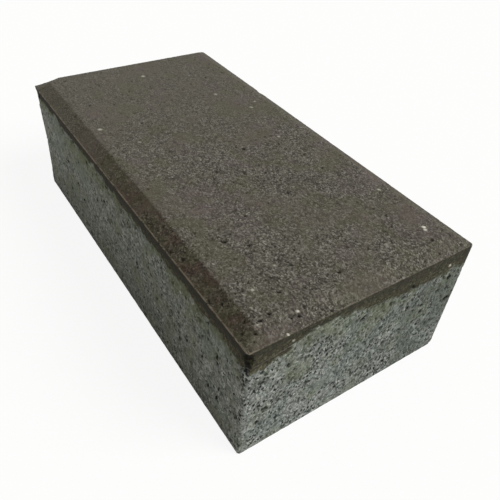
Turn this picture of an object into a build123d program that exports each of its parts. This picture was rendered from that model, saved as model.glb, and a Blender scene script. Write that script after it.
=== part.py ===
from build123d import *
import os

# Rectangular concrete paving stone, pressed in one mould from two mixes. A coarse
# grey backing fills most of the mould, and a thin layer of fine, dark facing mix
# is pressed onto it. The two set as one stone, and the line between them shows
# on the sides as a wandering edge.
#
# Millimetres. The stone lies on its underside, with the origin at the middle of
# that face. +X runs along the length, +Z is up through the worn face.

# Overall size of the stone as it leaves the mould
length = 200.0
width = 100.0
height = 60.0

# Upright corners, rounded by the corners of the mould
arris_radius = 3.0
# Lower edges, rubbed slightly round by handling
base_radius = 0.8

# Sloping margin round the worn face, formed by the press plate
slope_run = 5.6
slope_drop = 3.0
# Corners of the worn face, where two slopes meet in a narrow rounded hip
face_corner_radius = 1.0

# Level ledge at the foot of the slope, and the thin fin outside it, squeezed up
# through the gap between the press plate and the mould wall
ledge_width = 0.5
fin_width = 0.5
fin_height = 0.4

# Usual depth of the facing mix below the worn face
facing_depth = 9.0
# How much deeper (+) or shallower (-) the facing is than usual. Each row is one
# station along the length, as a share of it, read across the stone from the -Y
# side to the +Y side at even spacing. The +X end shows the most.
facing_wander = {
    -0.50: (-2.0, -1.2, -0.4, -0.8, -0.2, 0.4, 0.6),
    -0.15: (-1.2, -0.5, 0.2, 0.5, 0.1, 0.7, 1.2),
    0.20: (0.0, 0.6, 0.4, 0.9, 0.8, 1.4, 1.8),
    0.50: (2.8, 3.0, -2.6, 1.4, 4.0, 3.2, 4.2),
}
# The tool that divides the mixes runs this far past the stone on every side
overrun = 6.0

# Sizes that follow from those above
rim_height = height - slope_drop
foot_inset = fin_width + ledge_width
face_inset = foot_inset + slope_run


# The whole stone: straight sides with rounded upright corners, up to the rim
with BuildPart() as stone:
    with BuildSketch():
        RectangleRounded(length, width, arris_radius)
    extrude(amount=rim_height)
    fillet(stone.faces().sort_by(Axis.Z)[0].edges(), base_radius)

    # The sloping margin rises from the inner edge of the ledge to the worn face
    with BuildSketch(Plane.XY.offset(rim_height)):
        RectangleRounded(length - 2 * foot_inset, width - 2 * foot_inset, arris_radius - foot_inset)
    with BuildSketch(Plane.XY.offset(height)):
        RectangleRounded(length - 2 * face_inset, width - 2 * face_inset, face_corner_radius)
    loft(ruled=True)

    # The fin stands on the rim, flush with the sides
    with BuildSketch(Plane.XY.offset(rim_height)):
        RectangleRounded(length, width, arris_radius)
        RectangleRounded(
            length - 2 * fin_width, width - 2 * fin_width, arris_radius - fin_width, mode=Mode.SUBTRACT
        )
    extrude(amount=fin_height)


# What the first filling of the mould takes up: the backing mix, struck off
# unevenly, so its top is a smooth skin through the wandering depths
with BuildPart() as backing_fill:
    half_span = width / 2 + overrun
    for share, wander in facing_wander.items():
        station = Plane(
            origin=(share * (length + 2 * overrun), 0, 0), x_dir=(0, 1, 0), z_dir=(1, 0, 0)
        )
        step = 2 * half_span / (len(wander) - 1)
        with BuildSketch(station):
            with BuildLine():
                skin = Spline(
                    [(-half_span + i * step, height - facing_depth - more) for i, more in enumerate(wander)]
                )
                Polyline(skin @ 1, (half_span, -overrun), (-half_span, -overrun), skin @ 0)
            make_face()
    loft()


# Coarse grey concrete under the facing, down to the flat underside
with BuildPart() as backing_layer:
    add(stone.part)
    add(backing_fill.part, mode=Mode.INTERSECT)

# Fine dark facing mix, with the worn face, the sloping margin and the rim
with BuildPart() as facing_layer:
    add(stone.part)
    add(backing_fill.part, mode=Mode.SUBTRACT)


os.makedirs("parts", exist_ok=True)
backing_layer.part.label = "backing_layer"
export_step(backing_layer.part, "parts/backing_layer.step")
facing_layer.part.label = "facing_layer"
export_step(facing_layer.part, "parts/facing_layer.step")

for layer in (backing_layer.part, facing_layer.part):
    print(layer.label, "volume", round(layer.volume / 1000, 1), "cm3", layer.bounding_box().size)
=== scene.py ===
# %% [markdown]
# A pressed concrete paving stone, dressed for its picture.
# The solids of the stone come ready made, at their real size, and this lesson
# gives them the surface of real concrete: the sandy worn face, the rim that the
# press left, the open pores of the coarse backing, and knocks at the corners.
# Lengths in Blender are metres. Concrete is a matter of millimetres, so a
# millimetre gets a name, and every size below is written with it.

# %% Load the stone's solids
import math

import bmesh
import bpy
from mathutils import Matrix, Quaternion, Vector, noise
from mathutils.bvhtree import BVHTree
from mathutils.kdtree import KDTree


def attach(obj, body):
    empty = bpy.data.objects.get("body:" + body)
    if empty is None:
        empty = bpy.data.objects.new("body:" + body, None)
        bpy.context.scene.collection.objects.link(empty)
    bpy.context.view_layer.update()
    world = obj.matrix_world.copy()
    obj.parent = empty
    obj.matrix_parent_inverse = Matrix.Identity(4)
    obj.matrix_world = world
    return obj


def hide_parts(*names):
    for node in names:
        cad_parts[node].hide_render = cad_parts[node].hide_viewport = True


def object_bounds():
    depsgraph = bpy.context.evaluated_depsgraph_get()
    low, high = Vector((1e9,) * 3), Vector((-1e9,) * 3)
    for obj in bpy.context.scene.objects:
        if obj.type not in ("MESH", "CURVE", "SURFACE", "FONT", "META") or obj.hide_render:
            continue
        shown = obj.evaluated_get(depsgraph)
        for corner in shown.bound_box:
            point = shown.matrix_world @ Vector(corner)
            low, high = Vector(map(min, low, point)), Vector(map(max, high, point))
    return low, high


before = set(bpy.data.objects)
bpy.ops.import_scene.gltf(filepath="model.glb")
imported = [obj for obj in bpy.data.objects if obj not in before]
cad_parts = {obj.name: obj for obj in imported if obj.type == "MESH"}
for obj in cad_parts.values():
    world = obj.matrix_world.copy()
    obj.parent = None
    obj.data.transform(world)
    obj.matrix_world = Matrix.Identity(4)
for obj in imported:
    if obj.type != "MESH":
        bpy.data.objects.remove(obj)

MM = 0.001
cad_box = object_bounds()
stone_low, stone_high = Vector(cad_box[0]), Vector(cad_box[1])
stone_size = stone_high - stone_low
print("stone, mm:", [round(v / MM, 1) for v in stone_size])

# %% [markdown]
# The camera stands near the +X, -Y corner and looks down at the worn face. Its
# place and its angles were worked out from where the corners of the stone fall
# in the photograph. The lens is a little longer than a phone's, and the camera
# is tilted a few degrees about its own axis, as a hand-held one often is.

# %% Camera
camera_place = Vector((176.7, -109.7, 181.3)) * MM
camera_azimuth = 53.25
camera_elevation = 41.01
camera_roll = 4.92
lens_length = 39.2

azimuth, elevation = math.radians(camera_azimuth), math.radians(camera_elevation)
towards_camera = Vector((
    math.sin(azimuth) * math.cos(elevation),
    -math.cos(azimuth) * math.cos(elevation),
    math.sin(elevation),
))
level_view = (-towards_camera).to_track_quat("-Z", "Y")
tilt = Quaternion((0, 0, 1), math.radians(camera_roll))

camera_data = bpy.data.cameras.new("camera")
camera_data.lens = lens_length
camera_data.sensor_width = 36.0
camera_data.clip_start = 10 * MM
camera = bpy.data.objects.new("camera", camera_data)
camera.location = camera_place
camera.rotation_mode = "QUATERNION"
camera.rotation_quaternion = level_view @ tilt
bpy.context.scene.collection.objects.link(camera)
bpy.context.scene.camera = camera
print("camera distance, mm:", round(camera_place.length / MM))

# %% [markdown]
# An operator acts on all that is selected, so nothing may be left selected from
# the step before. Three helpers take care of that: one deselects everything,
# one makes a single piece the active one, and one picks edges or faces of the
# piece in hand by a test of where they lie or which way they face.


# %% Helpers for selecting
def nothing_selected():
    if bpy.context.object and bpy.context.object.mode != "OBJECT":
        bpy.ops.object.mode_set(mode="OBJECT")
    bpy.ops.object.select_all(action="DESELECT")


def only(piece):
    nothing_selected()
    piece.select_set(True)
    bpy.context.view_layer.objects.active = piece


def pick(kind, test):
    """Selects the edges or faces of the edited mesh that pass the test."""
    bpy.ops.mesh.select_mode(type={"edges": "EDGE", "faces": "FACE"}[kind])
    bpy.ops.mesh.select_all(action="DESELECT")
    shape = bmesh.from_edit_mesh(bpy.context.object.data)
    for element in getattr(shape, kind):
        element.select_set(bool(test(element)))
    shape.select_flush_mode()
    bmesh.update_edit_mesh(bpy.context.object.data)


# %% [markdown]
# The stone is modelled by hand as one block, because the real one is pressed as
# one. A cube gets the size of the blank up to its rim. Its top is inset for the
# level ledge, and inset once more and lifted for the sloping margin and the
# worn face. Only then are the upright corners bevelled round, because an inset
# deeper than a corner's radius would fold the corner over. The outside size is
# measured from the solids, and the narrow sizes of the rim are read off the
# photograph. Each corner has its own radius, since each was worn differently.

# %% Block out the stone
arris_radii = {
    (1, -1): 1.1 * MM, (1, 1): 1.0 * MM, (-1, 1): 1.2 * MM, (-1, -1): 2.4 * MM,
}
ledge_inset = 0.7 * MM
slope_run = 5.9 * MM
slope_drop = 3.0 * MM
base_round = 0.5 * MM
rim_height = stone_high.z - slope_drop
level = 0.9
near_corner = stone_high.y - 0.1 * MM

nothing_selected()
middle = (stone_low + stone_high) / 2
bpy.ops.mesh.primitive_cube_add(
    size=1, location=(middle.x, middle.y, rim_height / 2),
    scale=(stone_size.x, stone_size.y, rim_height),
)
block = bpy.context.object
block.name = "block"
bpy.ops.object.transform_apply(location=True, rotation=True, scale=True)

bpy.ops.object.mode_set(mode="EDIT")
pick("faces", lambda face: face.normal.z > level)
bpy.ops.mesh.inset(thickness=ledge_inset)
bpy.ops.mesh.inset(thickness=slope_run)
bpy.ops.transform.translate(value=(0, 0, slope_drop))
for (side_x, side_y), arris_radius in arris_radii.items():
    pick("edges", lambda edge: (
        abs(edge.verts[0].co.z - edge.verts[1].co.z) > rim_height / 2
        and min(edge.verts[0].co.x * side_x, edge.verts[0].co.y * side_y) > near_corner
    ))
    bpy.ops.mesh.bevel(offset=arris_radius, segments=6)
pick("faces", lambda face: face.normal.z < -level)
bpy.ops.mesh.region_to_loop()
bpy.ops.mesh.bevel(offset=base_round, segments=2)
bpy.ops.object.mode_set(mode="OBJECT")
print("block:", len(block.data.polygons), "faces")

# %% [markdown]
# A stone that has been handled has knocks. Each is bitten out of the block with
# a pebble-shaped cutter, the way a pebble would have done it. A pebble's place
# is given first, then its three radii, both in millimetres. Most pebbles stand
# outside the stone and only touch it, so they bite a shallow hollow, and a long
# one wears a whole arris down.

# %% Knock the corners
knocks = {
    "notch under the near rim": ((100.4, -50.6, 52.6), (2.6, 3.3, 3.3)),
    "foot of the notch": ((100.4, -50.8, 48.2), (1.6, 2.1, 3.6)),
    "worn far rim": ((-112.0, -58.0, 60.0), (25.3, 29.6, 6.0)),
    "hollow under the far rim": ((-97.0, -51.4, 51.4), (6.5, 3.4, 4.8)),
    "worn far arris": ((-104.0, -60.0, 28.0), (21.3, 12.6, 70.0)),
    "chip in the right arris": ((100.9, 51.0, 12.0), (1.8, 1.8, 4.0)),
    "worn right foot": ((101.0, 51.0, -0.6), (2.6, 3.4, 3.0)),
    "chip in the far base": ((-101.2, 18.0, -0.6), (2.2, 6.0, 2.2)),
    "chip in the back rim": ((-40.0, 51.2, 57.4), (4.0, 1.9, 1.4)),
    "chip in the back base": ((62.0, 51.1, -0.7), (6.0, 1.9, 1.9)),
}
for knock, (place, radii) in knocks.items():
    nothing_selected()
    bpy.ops.mesh.primitive_ico_sphere_add(
        subdivisions=3, radius=1, location=Vector(place) * MM, scale=Vector(radii) * MM,
    )
    bpy.ops.object.transform_apply(location=True, rotation=True, scale=True)
    pebble = bpy.context.object
    pebble.name = knock
    only(block)
    bite = block.modifiers.new("bite", "BOOLEAN")
    bite.operation = "DIFFERENCE"
    bite.solver = "MANIFOLD"
    bite.object = pebble
    bpy.ops.object.modifier_apply(modifier="bite")
    bpy.data.objects.remove(pebble)
print("knocks:", ", ".join(knocks))

# %% [markdown]
# Concrete relief needs points to move, about two for each millimetre. A voxel
# remesh covers the whole block evenly with small square faces, and it also
# takes the knife edge off every arris, which is what sand and cement do. The
# facing is finer concrete than the backing, so it gets the finer mesh.

# %% Cover the block with a fine, even mesh
facing_voxel = 0.53 * MM
backing_voxel = 0.6 * MM


def fine_copy(name, voxel):
    piece = block.copy()
    piece.data = block.data.copy()
    piece.name = piece.data.name = name
    bpy.context.scene.collection.objects.link(piece)
    only(piece)
    remesh = piece.modifiers.new("fine_mesh", "REMESH")
    remesh.mode = "VOXEL"
    remesh.voxel_size = voxel
    bpy.ops.object.modifier_apply(modifier="fine_mesh")
    print(name, "fine mesh:", len(piece.data.polygons), "faces")
    return piece


facing = fine_copy("facing_concrete_body", facing_voxel)
backing = fine_copy("backing_concrete_body", backing_voxel)

# %% [markdown]
# Two mixes are pressed together, a fine brown facing over a coarse grey
# backing, and the line between them wanders. The solids hold that line, so it
# is read off them: a ray goes straight down onto the backing solid, and where
# it lands is the height of the line there. Rays stay clear of the outer edge,
# where they could miss.

# %% Read the line between the two mixes off the solids
solid_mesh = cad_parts["backing_layer"].data
backing_surface = BVHTree.FromPolygons(
    [v.co.copy() for v in solid_mesh.vertices], [p.vertices[:] for p in solid_mesh.polygons],
)
clear_of_edge = 1.2 * MM
ray_start = stone_high.z + MM


def line_height(x, y):
    x = min(max(x, stone_low.x + clear_of_edge), stone_high.x - clear_of_edge)
    y = min(max(y, stone_low.y + clear_of_edge), stone_high.y - clear_of_edge)
    place, *_ = backing_surface.ray_cast(Vector((x, y, ray_start)), Vector((0, 0, -1)))
    return place.z


print("line at the middle, mm:", round(line_height(middle.x, middle.y) / MM, 1))

# %% [markdown]
# Every point of the fine meshes learns how far above the line it lies, which
# later tells it its colour and its relief. On the front side the mould drew the
# edge of the facing up a little, most of all near the corner, and left it in
# long tongues, each of which grows wider and then steps back.

# %% Tell each point how far above the line it lies
front_strip = 48.5 * MM
rise_start = 40 * MM
rise_run = 50 * MM
least_rise, near_rise, tongue_rise = 0.6, 1.4, 1.3
tongue_length = 24 * MM
tongue_shift = 0.875


def drawn_up(x, y):
    """How far up the facing's edge lies on the front side, and 0 on the other sides."""
    on_front = min(max((-y - front_strip) / MM, 0.0), 1.0)
    nearness = min(max((x - rise_start) / rise_run, 0.0), 1.0)
    tongue = 0.5 - (x / tongue_length + tongue_shift) % 1.0
    return on_front * (least_rise + near_rise * nearness + tongue_rise * tongue) * MM


def measure_line(piece):
    above = piece.data.attributes.new("above_line", "FLOAT", "POINT")
    heights = [
        v.co.z - line_height(v.co.x, v.co.y) - drawn_up(v.co.x, v.co.y)
        for v in piece.data.vertices
    ]
    above.data.foreach_set("value", heights)
    return heights


for piece in (facing, backing):
    heights = measure_line(piece)
    lowest, highest = (round(h / MM, 1) for h in (min(heights), max(heights)))
    print(piece.name, "above the line, mm:", lowest, "to", highest)

# %% [markdown]
# Most grains of a mix look alike, but a few catch the eye: pale quartz that
# stands clean of the paste, and pits where a grain fell out. Those are put
# where the real stone has them. Every mark has its place and its radius, in
# millimetres, and its strength. The notch at the near corner is a row of pits
# that grow smaller and weaker down the arris.

# %% Grains and pits that stand out
worn_face_grains = [
    ((85.7, 37.1, 60.0), 0.9, 1.0), ((87.1, 36.4, 60.0), 0.7, 0.9), ((59.5, 39.3, 60.0), 0.8, 0.45),
    ((-34.8, -39.4, 60.0), 1.0, 0.5), ((-77.1, 1.1, 60.0), 1.2, 0.4),
    ((-17.2, -28.7, 60.0), 0.8, 0.35), ((-42.7, 24.2, 60.0), 1.0, 0.35),
    ((-27.5, 37.7, 60.0), 1.0, 0.35), ((-22.8, 32.7, 60.0), 0.9, 0.35),
    ((6.3, 28.0, 60.0), 0.8, 0.4), ((75.4, -23.4, 60.0), 0.7, 0.4), ((81.1, -36.0, 60.0), 0.7, 0.45),
    ((81.6, -39.4, 60.0), 0.6, 0.4), ((87.3, -40.5, 60.0), 0.6, 0.4), ((64.7, -40.5, 60.0), 0.7, 0.35),
]
margin_grains = [
    ((95.0, -28.6, 59.2), 0.6, 0.7), ((93.9, -42.5, 59.8), 0.6, 0.4), ((99.6, -35.2, 57.0), 0.6, 0.8),
]
end_grains = [
    ((100.0, -33.0, 53.1), 0.6, 0.45), ((100.0, 39.1, 51.2), 0.8, 0.7), ((100.0, 31.9, 15.4), 0.8, 0.35),
    ((100.0, 20.5, 37.7), 0.8, 0.35), ((100.0, -43.9, 30.7), 0.8, 0.35),
    ((100.0, -18.2, 36.1), 0.8, 0.35),
]
front_grains = [
    ((59.0, -50.0, 46.2), 0.8, 0.5), ((68.2, -50.0, 49.2), 0.7, 0.4), ((0.3, -50.0, 46.6), 0.8, 0.4),
]
pale_grains = worn_face_grains + margin_grains + end_grains + front_grains

far_hollow_pits = [((-94.0, -49.0, 53.5), 3.2, 0.7), ((-90.0, -50.0, 54.6), 2.0, 0.7)]
top_pits = [
    ((96.6, -28.6, 58.9), 0.8, 1.0), ((92.6, -41.0, 60.0), 0.8, 1.0), ((91.6, -37.2, 60.0), 0.7, 1.0),
    ((7.8, 8.2, 60.0), 1.0, 1.0), ((92.4, 34.2, 60.0), 0.7, 0.8), ((98.8, -17.7, 57.4), 0.7, 0.8),
    ((88.3, -6.5, 60.0), 0.7, 0.7), ((17.9, -11.4, 60.0), 0.8, 0.7), ((56.9, -31.5, 60.0), 0.8, 0.9),
    ((62.3, -25.1, 60.0), 0.8, 0.9), ((85.9, -29.3, 60.0), 0.7, 0.8), ((80.1, 4.6, 60.0), 0.7, 0.6),
]
near_corner_pits = [
    ((95.4, -44.6, 59.0), 0.6, 0.6), ((97.5, -46.0, 58.0), 0.6, 0.7), ((92.8, -47.5, 57.8), 0.5, 0.6),
    ((90.4, -45.1, 58.8), 0.6, 0.6), ((98.9, -48.6, 57.0), 0.6, 0.6), ((87.6, -47.2, 57.7), 0.5, 0.6),
]
end_pits = [
    ((100.0, 42.0, 44.0), 1.3, 0.9), ((100.0, 33.0, 44.5), 1.2, 0.8), ((100.0, 47.0, 30.0), 1.4, 0.9),
    ((100.0, -33.0, 40.0), 1.1, 1.0), ((100.0, -41.0, 22.0), 1.3, 0.9), ((100.0, -43.0, 38.0), 1.2, 1.0),
    ((100.0, -22.0, 24.0), 1.1, 0.9), ((100.0, -35.0, 12.0), 1.2, 0.9), ((100.0, 2.0, 30.0), 1.1, 0.8),
    ((100.0, 14.0, 22.0), 1.2, 0.8), ((100.0, 28.8, 26.0), 1.3, 0.9), ((100.0, -7.9, 35.1), 1.1, 0.8),
    ((100.0, 45.5, 30.1), 1.4, 1.0), ((100.0, 20.8, 48.7), 1.2, 0.8), ((100.0, 17.5, 45.3), 1.3, 0.9),
    ((100.0, 10.9, 45.8), 1.1, 0.8), ((100.0, 22.0, 37.1), 1.3, 0.9), ((100.0, 31.7, 30.1), 1.4, 0.9),
    ((100.0, 9.2, 34.0), 1.2, 0.8), ((100.0, -2.6, 45.1), 1.1, 0.8), ((100.0, 38.3, 19.3), 1.4, 0.9),
    ((100.0, 43.4, 37.4), 1.3, 1.0), ((100.0, 37.8, 38.3), 1.2, 0.9), ((100.0, 21.2, 25.8), 1.1, 0.8),
]
notch_x, notch_y = 99.4, -49.5
notch_top, notch_foot = 54.3, 46.5
notch_steps = 8
notch_pits = []
for step in range(notch_steps):
    down = step / (notch_steps - 1)
    notch_height = notch_top + (notch_foot - notch_top) * down
    notch_pits.append(((notch_x, notch_y, notch_height), 2.2 - 1.2 * down, 0.9 - 0.3 * down))

deep_pits = far_hollow_pits + top_pits + near_corner_pits + end_pits + notch_pits
print("grains that stand out:", len(pale_grains), "pits:", len(deep_pits))

# %% [markdown]
# Each mark now finds the points of the mesh around it, and stores on them how
# strongly they are marked: all of its strength over its inner half, fading to
# nothing at its edge. A tree of the points finds the near ones quickly, and
# smooth noise makes the edge ragged, since no grain is round.

# %% Mark the points around the grains and pits
search_reach = 1.4
raggedness = 0.5
ragged_size = 1.1 * MM


def mark(piece, name, marks):
    """Stores how strongly each point of the piece is marked, and counts those that are."""
    tree = KDTree(len(piece.data.vertices))
    for v in piece.data.vertices:
        tree.insert(v.co, v.index)
    tree.balance()
    strengths = [0.0] * len(piece.data.vertices)
    for place, radius, strength in marks:
        reach = search_reach * radius * MM
        for point, index, distance in tree.find_range(Vector(place) * MM, reach):
            ragged = radius * MM * (1 + raggedness * noise.noise(point / ragged_size))
            near = max(0.0, 1 - distance / ragged)
            strengths[index] = max(strengths[index], strength * min(1.0, 2 * near))
    stored = piece.data.attributes.new(name, "FLOAT", "POINT")
    stored.data.foreach_set("value", strengths)
    return sum(s > 0 for s in strengths)


for piece in (facing, backing):
    grain_points = mark(piece, "quartz", pale_grains)
    pit_points = mark(piece, "pit", deep_pits)
    print(piece.name, "points in grains:", grain_points, "in pits:", pit_points)

# %% [markdown]
# The relief of the concrete and all its colours are built from nodes. One small
# function adds a node to a tree: it sets the node's settings, then fills each
# input with a number or colour, or links another node to it.


# %% Helper for nodes
def add(tree, kind, inputs=None, **settings):
    node = tree.nodes.new(kind)
    for name, value in settings.items():
        setattr(node, name, value)
    for key, value in (inputs or {}).items():
        socket = node.inputs[key]
        if isinstance(key, str):
            socket = next(s for s in node.inputs if s.enabled and s.name == key)
        if isinstance(value, bpy.types.Node):
            value = next(s for s in value.outputs if s.enabled)
        if isinstance(value, bpy.types.NodeSocket):
            tree.links.new(value, socket)
        else:
            socket.default_value = value
    return node


# %% [markdown]
# The relief is a solid pattern that runs right through the stone, so it meets
# at every corner, and it only ever pushes the surface inwards, so the stone
# keeps its outside size. It is a Geometry Nodes group, and the first nodes say
# where each point lies: above the line or below it, on a side or on top, on the
# sloping margin or off it. The edge of the facing wanders a little, since the
# two mixes were pressed into each other.

# %% Where a point of the stone lies
relief = bpy.data.node_groups.new("concrete_relief", "GeometryNodeTree")
relief.interface.new_socket("Geometry", in_out="INPUT", socket_type="NodeSocketGeometry")
relief.interface.new_socket("Geometry", in_out="OUTPUT", socket_type="NodeSocketGeometry")
surface_in = add(relief, "NodeGroupInput")
place = add(relief, "GeometryNodeInputPosition")
normal = add(relief, "GeometryNodeInputNormal")
above = add(relief, "GeometryNodeInputNamedAttribute", {"Name": "above_line"})
height = add(relief, "ShaderNodeSeparateXYZ", {0: place}).outputs["Z"]
facing_up = add(relief, "ShaderNodeSeparateXYZ", {0: normal}).outputs["Z"]

wander_size, wander_reach = 5 * MM, 3.0 * MM
edge_softness = 0.6 * MM
side_starts, side_full = 0.75, 0.45
worn_face_edge, margin_top = stone_high.z - 0.05 * MM, stone_high.z - 0.5 * MM
margin_foot, ledge_top = rim_height - 0.9 * MM, rim_height - 0.5 * MM


def between(tree, value, low, high):
    """0 at low, 1 at high, with a soft start and end. Low may be the greater one."""
    return add(tree, "ShaderNodeMapRange", {
        "Value": value, "From Min": low, "From Max": high,
    }, interpolation_type="SMOOTHSTEP")


line_wander = add(relief, "ShaderNodeTexNoise", {
    "Vector": place, "Scale": 1 / wander_size, "Detail": 3.0,
})
wandered = add(relief, "ShaderNodeMath", {
    0: add(relief, "ShaderNodeMath", {0: line_wander, 1: 0.5}, operation="SUBTRACT"),
    1: wander_reach, 2: above,
}, operation="MULTIPLY_ADD")
in_facing = between(relief, wandered, -edge_softness, edge_softness)
upright = add(relief, "ShaderNodeMath", {0: facing_up}, operation="ABSOLUTE")
on_side = between(relief, upright, side_starts, side_full)
# The margin reaches down over the level ledge at the rim, so its dark skin lies there too, partly as
# painted shade.
on_margin = add(relief, "ShaderNodeMath", {
    0: between(relief, height, worn_face_edge, margin_top),
    1: between(relief, height, margin_foot, ledge_top),
}, operation="MULTIPLY")
print("relief, nodes so far:", len(relief.nodes))

# %% [markdown]
# A hole is a cell of a Voronoi pattern. Each cell has a width of its own, and
# most are narrow, because the cell's chance number is raised to a power: the
# greater that is, the rarer a wide hole. A wide hole is also a deep one. The
# pattern is laid on bent coordinates, so that its round cells come out ragged,
# and it is drawn out upright, because the mould is lifted off the fresh stone
# and drags the holes with it. The end at +X is the roughest of the sides, so a
# last function gives one number there and another on the rest of the stone.

# %% Holes in the concrete
upright_draw = (1, 1, 0.75)
rough_end_starts, rough_end_full = 96 * MM, 98.5 * MM


def bent(tree, place, size, most):
    """Coordinates drawn out upright and bent by up to that much, in waves of that size."""
    bend = add(tree, "ShaderNodeTexNoise", {"Vector": place, "Scale": 1 / size, "Detail": 2.0})
    aside = add(tree, "ShaderNodeVectorMath", {
        0: bend.outputs["Color"], 1: (0.5, 0.5, 0.5),
    }, operation="SUBTRACT")
    drawn = add(tree, "ShaderNodeVectorMath", {0: place, 1: upright_draw}, operation="MULTIPLY")
    return add(tree, "ShaderNodeVectorMath", {
        0: aside, 1: (2 * most, 2 * most, 2 * most), 2: drawn,
    }, operation="MULTIPLY_ADD")


def holes(tree, place, cell, widest, depth, rarity):
    """Depth of holes, one to a cell at most. Widest is a radius, as a share of the cell."""
    cells = add(tree, "ShaderNodeTexVoronoi", {"Vector": place, "Scale": 1 / cell})
    chance = add(tree, "ShaderNodeSeparateXYZ", {0: cells.outputs["Color"]})
    width = add(tree, "ShaderNodeMath", {
        0: add(tree, "ShaderNodeMath", {0: chance, 1: rarity}, operation="POWER"), 1: widest,
    }, operation="MULTIPLY")
    floor_width = add(tree, "ShaderNodeMath", {0: width, 1: 0.5}, operation="MULTIPLY")
    hollow = between(tree, cells.outputs["Distance"], width, floor_width)
    deep = add(tree, "ShaderNodeMath", {0: width, 1: depth / widest}, operation="MULTIPLY")
    return add(tree, "ShaderNodeMath", {0: hollow, 1: deep}, operation="MULTIPLY")


def by_side(tree, place, elsewhere, at_end):
    """One number at the rough end, and another everywhere else."""
    along = add(tree, "ShaderNodeSeparateXYZ", {0: place}).outputs["X"]
    return add(tree, "ShaderNodeMapRange", {
        "Value": along, "From Min": rough_end_starts, "From Max": rough_end_full,
        "To Min": elsewhere, "To Max": at_end,
    })


# %% [markdown]
# The backing is coarse: open pores of two sizes, where big grains met too
# little cement, and uneven sand between them. Along the base, the board that
# the stone was pressed on kept the pores shut.

# %% Depth of the backing
shut_height, open_height = 0.8 * MM, 3.0 * MM
coarse_grain, coarse_relief = 1.8 * MM, 0.3 * MM

bent_place = bent(relief, place, size=1.7 * MM, most=1.0 * MM)
rarity = by_side(relief, place, elsewhere=2.4, at_end=1.3)
pores = add(relief, "ShaderNodeMath", {
    0: holes(relief, bent_place, cell=3.0 * MM, widest=0.45, depth=1.6 * MM, rarity=rarity),
    1: holes(relief, bent_place, cell=1.9 * MM, widest=0.52, depth=1.2 * MM, rarity=rarity),
}, operation="ADD")
open_pores = add(relief, "ShaderNodeMath", {
    0: pores, 1: between(relief, height, shut_height, open_height),
}, operation="MULTIPLY")
coarse_sand = add(relief, "ShaderNodeTexNoise", {
    "Vector": place, "Scale": 1 / coarse_grain, "Detail": 2.0, "Roughness": 0.6,
})
backing_depth = add(relief, "ShaderNodeMath", {
    0: coarse_sand, 1: coarse_relief, 2: open_pores,
}, operation="MULTIPLY_ADD")
print("relief, nodes so far:", len(relief.nodes))

# %% [markdown]
# The worn face has only fine sand and fine pits, and the sides of the facing
# were pressed smooth by the mould. The grains that stand out are hardly sunk at
# all, and the marked pits go deeper than what lies around them.

# %% Depth of the facing and of the marks
fine_grain, fine_relief = 1.2 * MM, 0.35 * MM
pressed_relief = 0.25 * MM
grain_sunk, grain_starts, grain_full = 0.02 * MM, 0.0, 0.5
pit_depth = 1.1 * MM

fine_pits = holes(relief, bent_place, cell=2.0 * MM, widest=0.42, depth=0.7 * MM, rarity=1.7)
fine_sand = add(relief, "ShaderNodeTexNoise", {
    "Vector": place, "Scale": 1 / fine_grain, "Detail": 2.0, "Roughness": 0.6,
})
worn_depth = add(relief, "ShaderNodeMath", {
    0: fine_sand, 1: fine_relief, 2: fine_pits,
}, operation="MULTIPLY_ADD")
pressed_depth = add(relief, "ShaderNodeMath", {
    0: coarse_sand, 1: pressed_relief,
}, operation="MULTIPLY")
facing_depth = add(relief, "ShaderNodeMix", {"Factor": on_side, "A": worn_depth, "B": pressed_depth})
depth = add(relief, "ShaderNodeMix", {"Factor": in_facing, "A": backing_depth, "B": facing_depth})

quartz = add(relief, "GeometryNodeInputNamedAttribute", {"Name": "quartz"})
stands_clear = between(relief, quartz, grain_starts, grain_full)
depth = add(relief, "ShaderNodeMix", {"Factor": stands_clear, "A": depth, "B": grain_sunk})
pit = add(relief, "GeometryNodeInputNamedAttribute", {"Name": "pit"})
depth = add(relief, "ShaderNodeMath", {0: pit, 1: pit_depth, 2: depth}, operation="MULTIPLY_ADD")
print("relief, nodes so far:", len(relief.nodes))

# %% [markdown]
# The group moves every point inwards by its depth, along its normal, but never
# out through a thin edge: the stone's own size holds it. It keeps what it
# worked out as attributes of the mesh. The materials read them later, so colour
# and shape always agree: a pit that is deep also gets painted shade.

# %% Press the relief into both bodies
inwards = add(relief, "ShaderNodeVectorMath", {0: normal, "Scale": add(
    relief, "ShaderNodeMath", {0: depth, 1: -1.0}, operation="MULTIPLY",
)}, operation="SCALE")
pressed_place = place
for with_what, operation in ((inwards, "ADD"), (stone_low, "MAXIMUM"), (stone_high, "MINIMUM")):
    pressed_place = add(relief, "ShaderNodeVectorMath", {
        0: pressed_place, 1: with_what,
    }, operation=operation)
moved = add(relief, "GeometryNodeSetPosition", {"Geometry": surface_in, "Position": pressed_place})
for name, field in (("sunk", depth), ("on_side", on_side), ("on_margin", on_margin)):
    moved = add(relief, "GeometryNodeStoreNamedAttribute", {
        "Geometry": moved, "Name": name, "Value": field,
    }, data_type="FLOAT", domain="POINT")
add(relief, "NodeGroupOutput", {0: moved})

for piece in (facing, backing):
    only(piece)
    roughen = piece.modifiers.new("relief", "NODES")
    roughen.node_group = relief
    bpy.ops.object.modifier_apply(modifier="relief")
    sunk = [a.value / MM for a in piece.data.attributes["sunk"].data]
    print(piece.name, "sunk, mm: deepest", round(max(sunk), 2), "mean", round(sum(sunk) / len(sunk), 2))

# %% [markdown]
# The underside is never seen close to, so it needs fewer faces than the sides.
# A vertex group marks it, and Decimate thins only what the group marks. That
# takes away as many triangles as it is told to, and leaves the backing under two
# hundred thousand of them once its upper part is cut off.

# %% Thin the underside
underside_top = 1.2 * MM
spare_triangles = 94_000


def triangles(piece):
    return sum(len(face.vertices) - 2 for face in piece.data.polygons)


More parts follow.
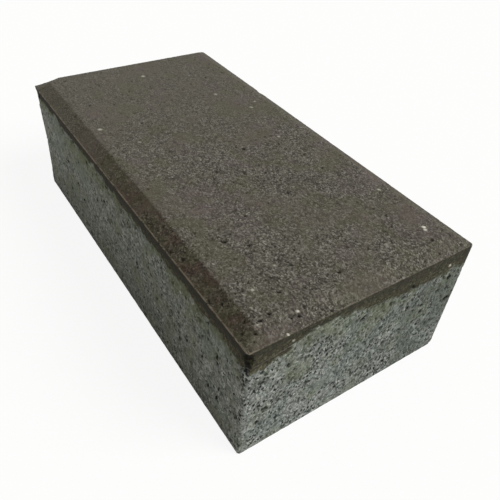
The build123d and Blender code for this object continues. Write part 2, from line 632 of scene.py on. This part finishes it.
marked = backing.vertex_groups.new(name="underside")
marked.add([v.index for v in backing.data.vertices if v.co.z < underside_top], 1.0, "REPLACE")
only(backing)
thin = backing.modifiers.new("thin", "DECIMATE")
thin.ratio = 1 - spare_triangles / triangles(backing)
thin.vertex_group = "underside"
bpy.ops.object.modifier_apply(modifier="thin")
print(backing.name, "thinned:", triangles(backing), "triangles")

# %% [markdown]
# The two bodies are parted along the line. A grid a little larger than the
# stone is lifted point by point onto the line, and extruded down past the base,
# so that it becomes a solid with the line as its top. The backing is what the
# stone shares with it, and the facing is the rest, as in the solids. Then the
# faces are shaded smooth, but for the sharp line where the two bodies part.

# %% Part the two bodies along the line
line_step = 4 * MM
overhang = 2 * MM
sharp_angle = math.radians(60)

nothing_selected()
bpy.ops.mesh.primitive_grid_add(
    x_subdivisions=round(stone_size.x / line_step),
    y_subdivisions=round(stone_size.y / line_step),
    size=1, location=(middle.x, middle.y, 0),
    scale=(stone_size.x + 2 * overhang, stone_size.y + 2 * overhang, 1),
)
parting = bpy.context.object
parting.name = "parting_solid"
bpy.ops.object.transform_apply(location=True, rotation=True, scale=True)
for v in parting.data.vertices:
    v.co.z = line_height(v.co.x, v.co.y)
bpy.ops.object.mode_set(mode="EDIT")
bpy.ops.mesh.select_all(action="SELECT")
bpy.ops.mesh.extrude_region_move(
    TRANSFORM_OT_translate={"value": (0, 0, -stone_high.z - overhang)},
)
bpy.ops.mesh.select_all(action="SELECT")
bpy.ops.mesh.normals_make_consistent(inside=False)
bpy.ops.object.mode_set(mode="OBJECT")

for piece, operation in ((facing, "DIFFERENCE"), (backing, "INTERSECT")):
    only(piece)
    cut = piece.modifiers.new("cut", "BOOLEAN")
    cut.operation = operation
    cut.solver = "MANIFOLD"
    cut.object = parting
    bpy.ops.object.modifier_apply(modifier="cut")
    bpy.ops.object.shade_smooth_by_angle(angle=sharp_angle)
    print(piece.name, "parted:", triangles(piece), "triangles")
bpy.data.objects.remove(parting)
bpy.data.objects.remove(block)

# %% [markdown]
# Pressed concrete is sand and stone in cement paste. What the eye sees is grain
# by grain: each grain of sand has its own tone, and between them the paste is
# darker. Over that lie soft stains, where the paste came richer or the stone
# stayed damp. Two functions lay such grain and such stain for either mix. They
# read Object coordinates, so a grain has its true size on every side, and a
# seed moves each stain to a place of its own in a pattern of four dimensions.
# Sand runs down to dust. Grains finer than half a millimetre would be too fine
# to show, so the smallest that are drawn are that coarse. Tones are written as
# the hex values that a painter reads off the screen, and a first function turns
# them into the linear light that Blender works in.

# %% The grain and the stains of a mix
large_grains, large_share = 2.2, 0.25
dust_grains, dust_share = 0.9, 0.15


def linear(hex_colour):
    channels = [int(hex_colour[i:i + 2], 16) / 255 for i in (1, 3, 5)]
    return [
        c / 12.92 if c <= 0.04045 else ((c + 0.055) / 1.055) ** 2.4 for c in channels
    ] + [1.0]


def grained(tree, place, grain, stops):
    """Sand of a mix: small grains, larger ones among them, and dust, through a ramp of tones."""
    small = add(tree, "ShaderNodeTexVoronoi", {"Vector": place, "Scale": 1 / grain})
    large = add(tree, "ShaderNodeTexVoronoi", {"Vector": place, "Scale": 1 / (large_grains * grain)})
    dust = add(tree, "ShaderNodeTexNoise", {
        "Vector": place, "Scale": 1 / (dust_grains * grain), "Detail": 3.0, "Roughness": 0.7,
    })
    sand = add(tree, "ShaderNodeMix", {
        "Factor": large_share,
        "A": add(tree, "ShaderNodeSeparateXYZ", {0: small.outputs["Color"]}),
        "B": add(tree, "ShaderNodeSeparateXYZ", {0: large.outputs["Color"]}),
    })
    shade = add(tree, "ShaderNodeMix", {"Factor": dust_share, "A": sand, "B": dust})
    ramp = add(tree, "ShaderNodeValToRGB", {"Fac": shade})
    tones = ramp.color_ramp.elements
    while len(tones) < len(stops):
        tones.new(0.5)
    for tone, (position, hex_colour) in zip(tones, stops):
        tone.position = position
        tone.color = linear(hex_colour)
    return ramp


def stained(tree, place, colour, stain_colour, size, seed, spread, amount):
    """Colour with stains of one more colour. Spread is where the pattern starts and is full."""
    shape = add(tree, "ShaderNodeTexNoise", {
        "Vector": place, "W": seed, "Scale": 1 / size,
        "Detail": 3.0, "Roughness": 0.55, "Distortion": 0.4,
    }, noise_dimensions="4D")
    cover = add(tree, "ShaderNodeMath", {
        0: between(tree, shape, *spread), 1: amount,
    }, operation="MULTIPLY")
    return add(tree, "ShaderNodeMix", {
        "Factor": cover, "A": colour, "B": linear(stain_colour),
    }, data_type="RGBA")


# %% [markdown]
# The facing mix is fine quartz sand in brown-grey cement, and on the worn face
# the sand stands clean. Its tones run from dark paste to pale quartz. Broad
# stains of brown, red and olive lie over it so softly that they hardly show by
# themselves, and fine dust dulls the sand towards the far end.


# %% The worn face
def worn_face(tree, place, where):
    """Clean sand, softly stained, with dust towards the far end."""
    worn = grained(tree, place, grain=0.5 * MM, stops=[
        (0.10, "#201e19"), (0.27, "#3c3932"), (0.50, "#56524a"), (0.73, "#716e65"), (0.90, "#908d85"),
    ])
    worn = stained(
        tree, place, worn, "#5d564b", size=26 * MM, seed=1.0, spread=(0.46, 0.64), amount=0.45,
    )
    worn = stained(
        tree, place, worn, "#645656", size=17 * MM, seed=2.0, spread=(0.46, 0.68), amount=0.45,
    )
    worn = stained(
        tree, place, worn, "#52513a", size=15 * MM, seed=3.0, spread=(0.46, 0.68), amount=0.4,
    )
    dusty = add(tree, "ShaderNodeMath", {
        0: between(tree, where.outputs["X"], 40 * MM, -90 * MM), 1: 0.5,
    }, operation="MULTIPLY")
    return add(tree, "ShaderNodeMix", {
        "Factor": dusty, "A": worn, "B": linear("#59554c"),
    }, data_type="RGBA")


# %% [markdown]
# The margin is the same sand under a damp and dirty skin. The skin's tone
# multiplies the tones of the sand, so every grain stays, only darker, red in
# places and olive in others. It covers the margin along the front side most,
# and thins out towards the far end and at the near corner, where hands and feet
# rubbed it off. It also covers the narrow level ledge at the rim, where its
# darkness is partly painted shade of the ledge.


# %% The margin
def margin_skin(tree, place, where):
    """The tone that the skin of the margin multiplies the sand by."""
    reddish = add(tree, "ShaderNodeMath", {
        0: between(tree, where.outputs["X"], -40 * MM, 50 * MM), 1: 0.75,
    }, operation="MULTIPLY")
    skin = stained(
        tree, place, linear("#c9c5b6"), "#bda39e",
        size=9 * MM, seed=4.0, spread=(0.46, 0.62), amount=reddish,
    )
    return stained(
        tree, place, skin, "#aba88c", size=8 * MM, seed=5.0, spread=(0.48, 0.62), amount=0.7,
    )


def skin_cover(tree, where, on_margin):
    """How much of the skin lies on a point of the margin, and 0 elsewhere."""
    in_front = add(tree, "ShaderNodeMapRange", {
        "Value": where.outputs["Y"], "From Min": -43 * MM, "From Max": -41 * MM,
        "To Min": 1.0, "To Max": 0.3,
    })
    nearer = add(tree, "ShaderNodeMapRange", {
        "Value": where.outputs["X"], "From Min": -95 * MM, "From Max": 20 * MM,
        "To Min": 0.33, "To Max": 1.0,
    })
    rubbed_corner = add(tree, "ShaderNodeMapRange", {
        "Value": where.outputs["X"], "From Min": 86 * MM, "From Max": 97 * MM,
        "To Min": 1.0, "To Max": 0.45,
    })
    cover = in_front
    for share in (nearer, rubbed_corner, on_margin):
        cover = add(tree, "ShaderNodeMath", {0: cover, 1: share}, operation="MULTIPLY")
    return cover


# %% [markdown]
# On its sides the facing was pressed against the mould, which left it smooth
# and a dark olive. Close under the rim it is darkened with dirt and with painted
# shade, the shade that the rim's thin lip would cast, most of all on the front
# side, where the band is nearly black.


# %% The sides of the facing
def pressed_side(tree, place, where):
    """Dark olive pressed concrete, with dirt and painted shade under the rim, darkest on the front side.
    """
    pressed = grained(tree, place, grain=0.7 * MM, stops=[
        (0.10, "#15130c"), (0.35, "#2d2b1e"), (0.62, "#3d3a2a"), (0.90, "#5f5d4a"),
    ])
    pressed = stained(
        tree, place, pressed, "#2a271c", size=10 * MM, seed=6.0, spread=(0.45, 0.65), amount=0.6,
    )
    front_shade_and_dirt = add(tree, "ShaderNodeMapRange", {
        "Value": where.outputs["Y"], "From Min": -49.9 * MM, "From Max": -48.5 * MM,
        "To Min": 0.85, "To Max": 0.47,
    })
    # Dirt and painted shade close under the rim.
    under_rim = between(tree, where.outputs["Z"], rim_height - 6.0 * MM, rim_height - 2.0 * MM)
    shade_and_dirt = add(tree, "ShaderNodeMath", {0: under_rim, 1: front_shade_and_dirt}, operation="MULTIPLY")
    return add(tree, "ShaderNodeMix", {
        "Factor": shade_and_dirt, "A": pressed, "B": linear("#1f1d16"),
    }, data_type="RGBA")


# %% [markdown]
# The rim is the sharpest edge of the stone. A thin fin along its outer edge is
# too fine for the mesh, so the light on its top is painted: a broken pale line of
# painted highlight, about half a millimetre to each side of the edge. It is found
# from the place alone. How far a point lies inside the outline is the greater of
# its two distances past the nearest sides, and the line lies within a width or
# two of the outline and of the height of the rim.


# %% The painted highlight along the rim
def rim_highlight(tree, place, width):
    """1 on the outer edge of the rim, where the highlight is painted, and 0 elsewhere."""
    height = add(tree, "ShaderNodeSeparateXYZ", {0: place}).outputs["Z"]
    past = add(tree, "ShaderNodeVectorMath", {
        0: add(tree, "ShaderNodeVectorMath", {0: place}, operation="ABSOLUTE"), 1: stone_high,
    }, operation="SUBTRACT")
    sides = add(tree, "ShaderNodeSeparateXYZ", {0: past})
    outside = add(tree, "ShaderNodeMath", {
        0: sides.outputs["X"], 1: sides.outputs["Y"],
    }, operation="MAXIMUM")
    edge = add(tree, "ShaderNodeMath", {
        0: between(tree, height, rim_height - 1.6 * width, rim_height - 0.8 * width),
        1: between(tree, outside, -1.8 * width, -1.2 * width),
    }, operation="MULTIPLY")
    below = between(tree, height, rim_height + 0.9 * width, rim_height + 0.3 * width)
    edge = add(tree, "ShaderNodeMath", {0: edge, 1: below}, operation="MULTIPLY")
    broken = add(tree, "ShaderNodeTexNoise", {
        "Vector": place, "Scale": 1 / (3 * MM), "Detail": 4.0, "Roughness": 0.7,
    })
    return add(tree, "ShaderNodeMath", {
        0: edge, 1: between(tree, broken, 0.40, 0.54),
    }, operation="MULTIPLY")


# %% [markdown]
# The look of the facing puts these together: the worn face and the margin on
# top, the pressed sides below the rim, and the painted highlight along the rim
# between them, which is plainest on the front side.


# %% The look of the facing mix
def facing_look(tree, place, on_side, on_margin):
    where = add(tree, "ShaderNodeSeparateXYZ", {0: place})
    top = add(tree, "ShaderNodeMix", {
        "Factor": skin_cover(tree, where, on_margin),
        "A": worn_face(tree, place, where),
        "B": margin_skin(tree, place, where),
    }, data_type="RGBA", blend_type="MULTIPLY")
    colour = add(tree, "ShaderNodeMix", {
        "Factor": on_side, "A": top, "B": pressed_side(tree, place, where),
    }, data_type="RGBA")
    # Painted highlight: the pale line along the rim, strongest on the front side.
    highlight_on_front = add(tree, "ShaderNodeMapRange", {
        "Value": where.outputs["Y"], "From Min": -49 * MM, "From Max": -45 * MM,
        "To Min": 0.75, "To Max": 0.2,
    })
    painted_highlight = add(tree, "ShaderNodeMath", {
        0: rim_highlight(tree, place, width=0.38 * MM), 1: highlight_on_front,
    }, operation="MULTIPLY")
    return add(tree, "ShaderNodeMix", {
        "Factor": painted_highlight, "A": colour, "B": linear("#7d7265"),
    }, data_type="RGBA")


# %% [markdown]
# The backing mix is crushed stone and sand in grey cement, paler and cooler
# than the facing. Its paste is more even on the long side than on the rough
# end. Pinholes too small to model lie over it in crowds, so their shade is
# painted: they are drawn dark, and they grow wider towards the far arris of the
# end. Real ones are down to a tenth of a millimetre wide, and these are drawn as
# coarse as they need to show.


# %% The paste and the pinholes of the backing
def backing_paste(tree, place, far_end):
    """Grey sand and paste with crowds of pinholes drawn dark as painted shade."""
    bent_place = bent(tree, place, size=0.9 * MM, most=0.35 * MM)
    colour = grained(tree, bent_place, grain=0.7 * MM, stops=[
        (0.10, "#2a2d2a"), (0.28, "#525552"), (0.50, "#727572"), (0.73, "#8c8f8b"), (0.90, "#b0b3ae"),
    ])
    colour = add(tree, "ShaderNodeMix", {
        "Factor": by_side(tree, place, elsewhere=0.25, at_end=0.0),
        "A": colour, "B": linear("#6b6f67"),
    }, data_type="RGBA")
    pinholes = holes(
        tree, bent_place, cell=1.5 * MM, widest=0.55, depth=1.0,
        rarity=by_side(tree, place, elsewhere=2.0, at_end=0.5),
    )
    crowds = add(tree, "ShaderNodeTexNoise", {"Vector": place, "Scale": 1 / (7 * MM), "Detail": 2.0})
    crowds = add(tree, "ShaderNodeMath", {0: far_end, 1: 0.12, 2: crowds}, operation="MULTIPLY_ADD")
    crowded = add(tree, "ShaderNodeMath", {
        0: pinholes, 1: between(tree, crowds, 0.38, 0.54),
    }, operation="MULTIPLY")
    wider = add(tree, "ShaderNodeMath", {0: far_end, 1: 1.5, 2: 1.0}, operation="MULTIPLY_ADD")
    crowded = add(tree, "ShaderNodeMath", {0: crowded, 1: wider}, operation="MULTIPLY")
    # Painted shade: the pinholes are drawn dark.
    return add(tree, "ShaderNodeMix", {
        "Factor": between(tree, crowded, 0.1, 0.35), "A": colour, "B": linear("#171916"),
    }, data_type="RGBA")


# %% [markdown]
# Over the paste lie soft green and blue-grey stains, and a damp one towards the
# far arris of the end. Close under the line an olive one shows where cement
# water from the facing ran down the mould. Towards the far end the whole colour
# is lifted brighter, as painted light.


# %% The look of the backing mix
def backing_look(tree, place, above):
    where = add(tree, "ShaderNodeSeparateXYZ", {0: place})
    far_end = between(tree, where.outputs["Y"], -20 * MM, 40 * MM)
    colour = backing_paste(tree, place, far_end)
    colour = stained(
        tree, place, colour, "#646a54", size=14 * MM, seed=7.0, spread=(0.46, 0.64), amount=0.45,
    )
    colour = stained(
        tree, place, colour, "#636c69", size=20 * MM, seed=8.0, spread=(0.50, 0.68), amount=0.45,
    )
    damp = add(tree, "ShaderNodeMath", {0: far_end, 1: 0.6}, operation="MULTIPLY")
    colour = stained(
        tree, place, colour, "#4b504b", size=12 * MM, seed=10.0, spread=(0.32, 0.60), amount=damp,
    )
    ran_down = add(tree, "ShaderNodeMath", {
        0: between(tree, above, -12 * MM, -1 * MM),
        1: by_side(tree, place, elsewhere=0.75, at_end=0.45),
    }, operation="MULTIPLY")
    colour = stained(
        tree, place, colour, "#51573c", size=7 * MM, seed=9.0, spread=(0.42, 0.58), amount=ran_down,
    )
    # Painted light: the colour is lifted brighter towards the far end.
    painted_light_far = add(tree, "ShaderNodeMapRange", {
        "Value": where.outputs["X"], "From Min": -95 * MM, "From Max": 20 * MM,
        "To Min": 1.29, "To Max": 1.0,
    })
    lifted = add(tree, "ShaderNodeVectorMath", {0: colour, "Scale": painted_light_far}, operation="SCALE")
    return lifted.outputs["Vector"]


# %% [markdown]
# Both bodies get the same material tree under their own names. It lays the two
# looks and chooses between them by how far the point lies above the line, with
# a ragged edge, because grains of each mix stray over it. Grains that stand out
# are pale, and points sunk into pits are darkened with painted shade. Concrete is
# matt: its roughness is near one, its IOR is that of quartz, and a bump carries
# the grit that is too small to model. Real grit is finer still, and this is drawn
# half a millimetre coarse so that it shows.

# %% Materials of the two mixes
stray_size, stray_reach = 7 * MM, 11 * MM
stray_edge = 0.7 * MM
shade_starts, shade_full, deepest_shade = 0.25 * MM, 0.85 * MM, 0.15
grit_size, grit_height = 0.5 * MM, 0.3 * MM


def pressed_concrete(name):
    material = bpy.data.materials.new(name)
    material.use_nodes = True
    tree = material.node_tree
    tree.nodes.clear()
    place = add(tree, "ShaderNodeTexCoord").outputs["Object"]
    above, sunk, on_side, on_margin, quartz = (
        add(tree, "ShaderNodeAttribute", attribute_name=stored).outputs["Fac"]
        for stored in ("above_line", "sunk", "on_side", "on_margin", "quartz")
    )
    stray = add(tree, "ShaderNodeTexNoise", {
        "Vector": place, "Scale": 1 / stray_size, "Detail": 4.0, "Roughness": 0.65,
    })
    strayed = add(tree, "ShaderNodeMath", {
        0: add(tree, "ShaderNodeMath", {0: stray, 1: 0.5}, operation="SUBTRACT"),
        1: stray_reach, 2: above,
    }, operation="MULTIPLY_ADD")
    colour = add(tree, "ShaderNodeMix", {
        "Factor": between(tree, strayed, -stray_edge, stray_edge),
        "A": backing_look(tree, place, above),
        "B": facing_look(tree, place, on_side, on_margin),
    }, data_type="RGBA")
    colour = add(tree, "ShaderNodeMix", {
        "Factor": quartz, "A": colour, "B": linear("#e3dfd0"),
    }, data_type="RGBA")
    # Painted shade: the deeper a point is sunk, the darker it is drawn.
    shaded = add(tree, "ShaderNodeMapRange", {
        "Value": sunk, "From Min": shade_starts, "From Max": shade_full,
        "To Min": 1.0, "To Max": deepest_shade,
    })
    colour = add(tree, "ShaderNodeMix", {
        "Factor": 1.0, "A": colour, "B": shaded,
    }, data_type="RGBA", blend_type="MULTIPLY")

    grit = add(tree, "ShaderNodeTexNoise", {
        "Vector": place, "Scale": 1 / grit_size, "Detail": 2.0, "Roughness": 0.7,
    })
    rough = add(tree, "ShaderNodeBump", {"Height": grit, "Distance": grit_height, "Strength": 1.0})
    surface = add(tree, "ShaderNodeBsdfPrincipled", {
        "Base Color": colour, "Roughness": 0.93, "IOR": 1.5, "Specular IOR Level": 0.25,
        "Normal": rough,
    })
    add(tree, "ShaderNodeOutputMaterial", {"Surface": surface})
    return material


for piece, finish in ((facing, "fine_facing_concrete"), (backing, "coarse_backing_concrete")):
    piece.data.materials.clear()
    piece.data.materials.append(pressed_concrete(finish))
    print(piece.name, "finish:", finish)

# %% [markdown]
# A soft key light stands high to the right, so the worn face is the brightest,
# the end next, and the long side lies in soft shade, as in the photograph. The
# world gives an even fill. Camera rays that miss everything see plain white, and
# so would a mirror or a glass.

# %% Light
light_from = Vector((0.55, 0.45, 0.70))
key_data = bpy.data.lights.new("key", "SUN")
key_data.energy = 2.9
key_data.angle = math.radians(35)
key_data.color = linear("#fbffff")[:3]
key = bpy.data.objects.new("key", key_data)
key.rotation_mode = "QUATERNION"
key.rotation_quaternion = light_from.to_track_quat("Z", "Y")
bpy.context.scene.collection.objects.link(key)

world = bpy.data.worlds.new("studio")
world.use_nodes = True
bpy.context.scene.world = world
sky = world.node_tree
sky.nodes.clear()
seen = add(sky, "ShaderNodeLightPath")
seen_white = seen.outputs["Is Camera Ray"]
for ray in ("Is Glossy Ray", "Is Transmission Ray"):
    seen_white = add(sky, "ShaderNodeMath", {0: seen_white, 1: seen.outputs[ray]}, operation="MAXIMUM")
fill = add(sky, "ShaderNodeBackground", {"Color": linear("#fffaf2"), "Strength": 0.30})
white = add(sky, "ShaderNodeBackground", {"Color": linear("#ffffff"), "Strength": 1.0})
add(sky, "ShaderNodeOutputWorld", {
    "Surface": add(sky, "ShaderNodeMixShader", {0: seen_white, 1: fill, 2: white}),
})
print("key light from:", [round(v, 2) for v in light_from])

# %% [markdown]
# The floor is a sheet of white paper. The camera sees it mixed with plain
# white, which keeps it as bright as the photograph's background and leaves the
# stone a light shadow. The light that it throws back on the stone is real.

# %% Floor
floor_width = 8
plain_white = 0.9

nothing_selected()
bpy.ops.mesh.primitive_plane_add(size=floor_width, location=(0, 0, 0))
floor = bpy.context.object
floor.name = "floor"
paper = bpy.data.materials.new("white_paper")
paper.use_nodes = True
sheet = paper.node_tree
sheet.nodes.clear()
looked_at = add(sheet, "ShaderNodeLightPath").outputs["Is Camera Ray"]
add(sheet, "ShaderNodeOutputMaterial", {"Surface": add(sheet, "ShaderNodeMixShader", {
    0: add(sheet, "ShaderNodeMath", {0: looked_at, 1: plain_white}, operation="MULTIPLY"),
    1: add(sheet, "ShaderNodeBsdfDiffuse", {"Color": linear("#f6f4ee")}),
    2: add(sheet, "ShaderNodeEmission", {"Color": linear("#ffffff"), "Strength": 1.0}),
})})
floor.data.materials.append(paper)
bpy.context.scene.view_settings.view_transform = "Standard"
print("floor, m wide:", floor_width)

# %% [markdown]
# Each body takes the place of its solid, and rides on the stone's one rigid
# body.

# %% Hand the pieces over to the frame
for piece, node, slot in (
    (facing, "facing_layer", "facing_concrete"),
    (backing, "backing_layer", "backing_concrete"),
):
    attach(piece, "root")
    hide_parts(node)
